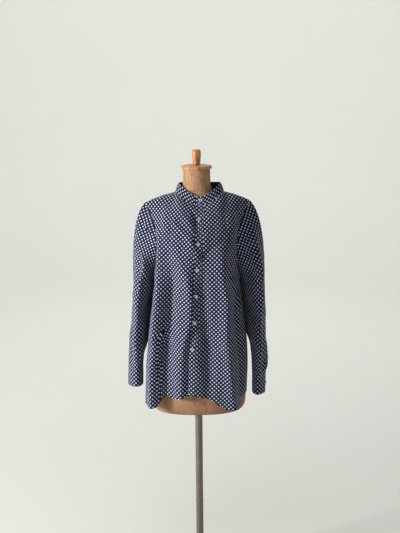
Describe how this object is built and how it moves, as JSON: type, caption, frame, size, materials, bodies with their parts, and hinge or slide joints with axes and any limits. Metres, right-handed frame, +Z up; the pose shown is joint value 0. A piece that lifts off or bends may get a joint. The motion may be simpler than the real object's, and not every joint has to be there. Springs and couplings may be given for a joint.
{
  "type": "mandarin collar shirt on a dress form",
  "caption": "Long-sleeved mandarin collar shirt with a buttoned front placket and polka dots, hanging on a limbless dress form with a turned knob, pole and round base.",
  "frame": {"origin": "centre of the base's underside, on the floor", "axes": "+Z up along the pole; the shirt's front faces -Y; +X is the wearer's left"},
  "size_m": [0.5015, 0.38, 1.55],
  "materials": {
    "shirt_cloth": "matt navy cotton with small off-white dots",
    "button_pearl": "grey-white pearl shirt button",
    "form_covering": "tan worn and finely cracked covering",
    "turned_wood": "waxed light brown turned wood",
    "pole_metal": "dull grey steel",
    "base_metal": "dark grey, satin"
  },
  "bodies": {
    "root": {"front_right": "shirt_cloth", "front_left": "shirt_cloth", "back": "shirt_cloth", "front_placket": "shirt_cloth", "collar_band": "shirt_cloth", "sleeve_right": "shirt_cloth", "sleeve_placket_right": "shirt_cloth", "cuff_right": "shirt_cloth", "sleeve_left": "shirt_cloth", "sleeve_placket_left": "shirt_cloth", "cuff_left": "shirt_cloth", "cuff_button_right": "button_pearl", "sleeve_button_right": "button_pearl", "cuff_button_left": "button_pearl", "sleeve_button_left": "button_pearl", "front_button_1": "button_pearl", "front_button_2": "button_pearl", "front_button_3": "button_pearl", "front_button_4": "button_pearl", "front_button_5": "button_pearl", "front_button_6": "button_pearl", "collar_button": "button_pearl", "form_body": "form_covering", "neck_disc": "turned_wood", "neck_knob": "turned_wood", "pole": "pole_metal", "base": "base_metal"}
  },
  "joints": []
}
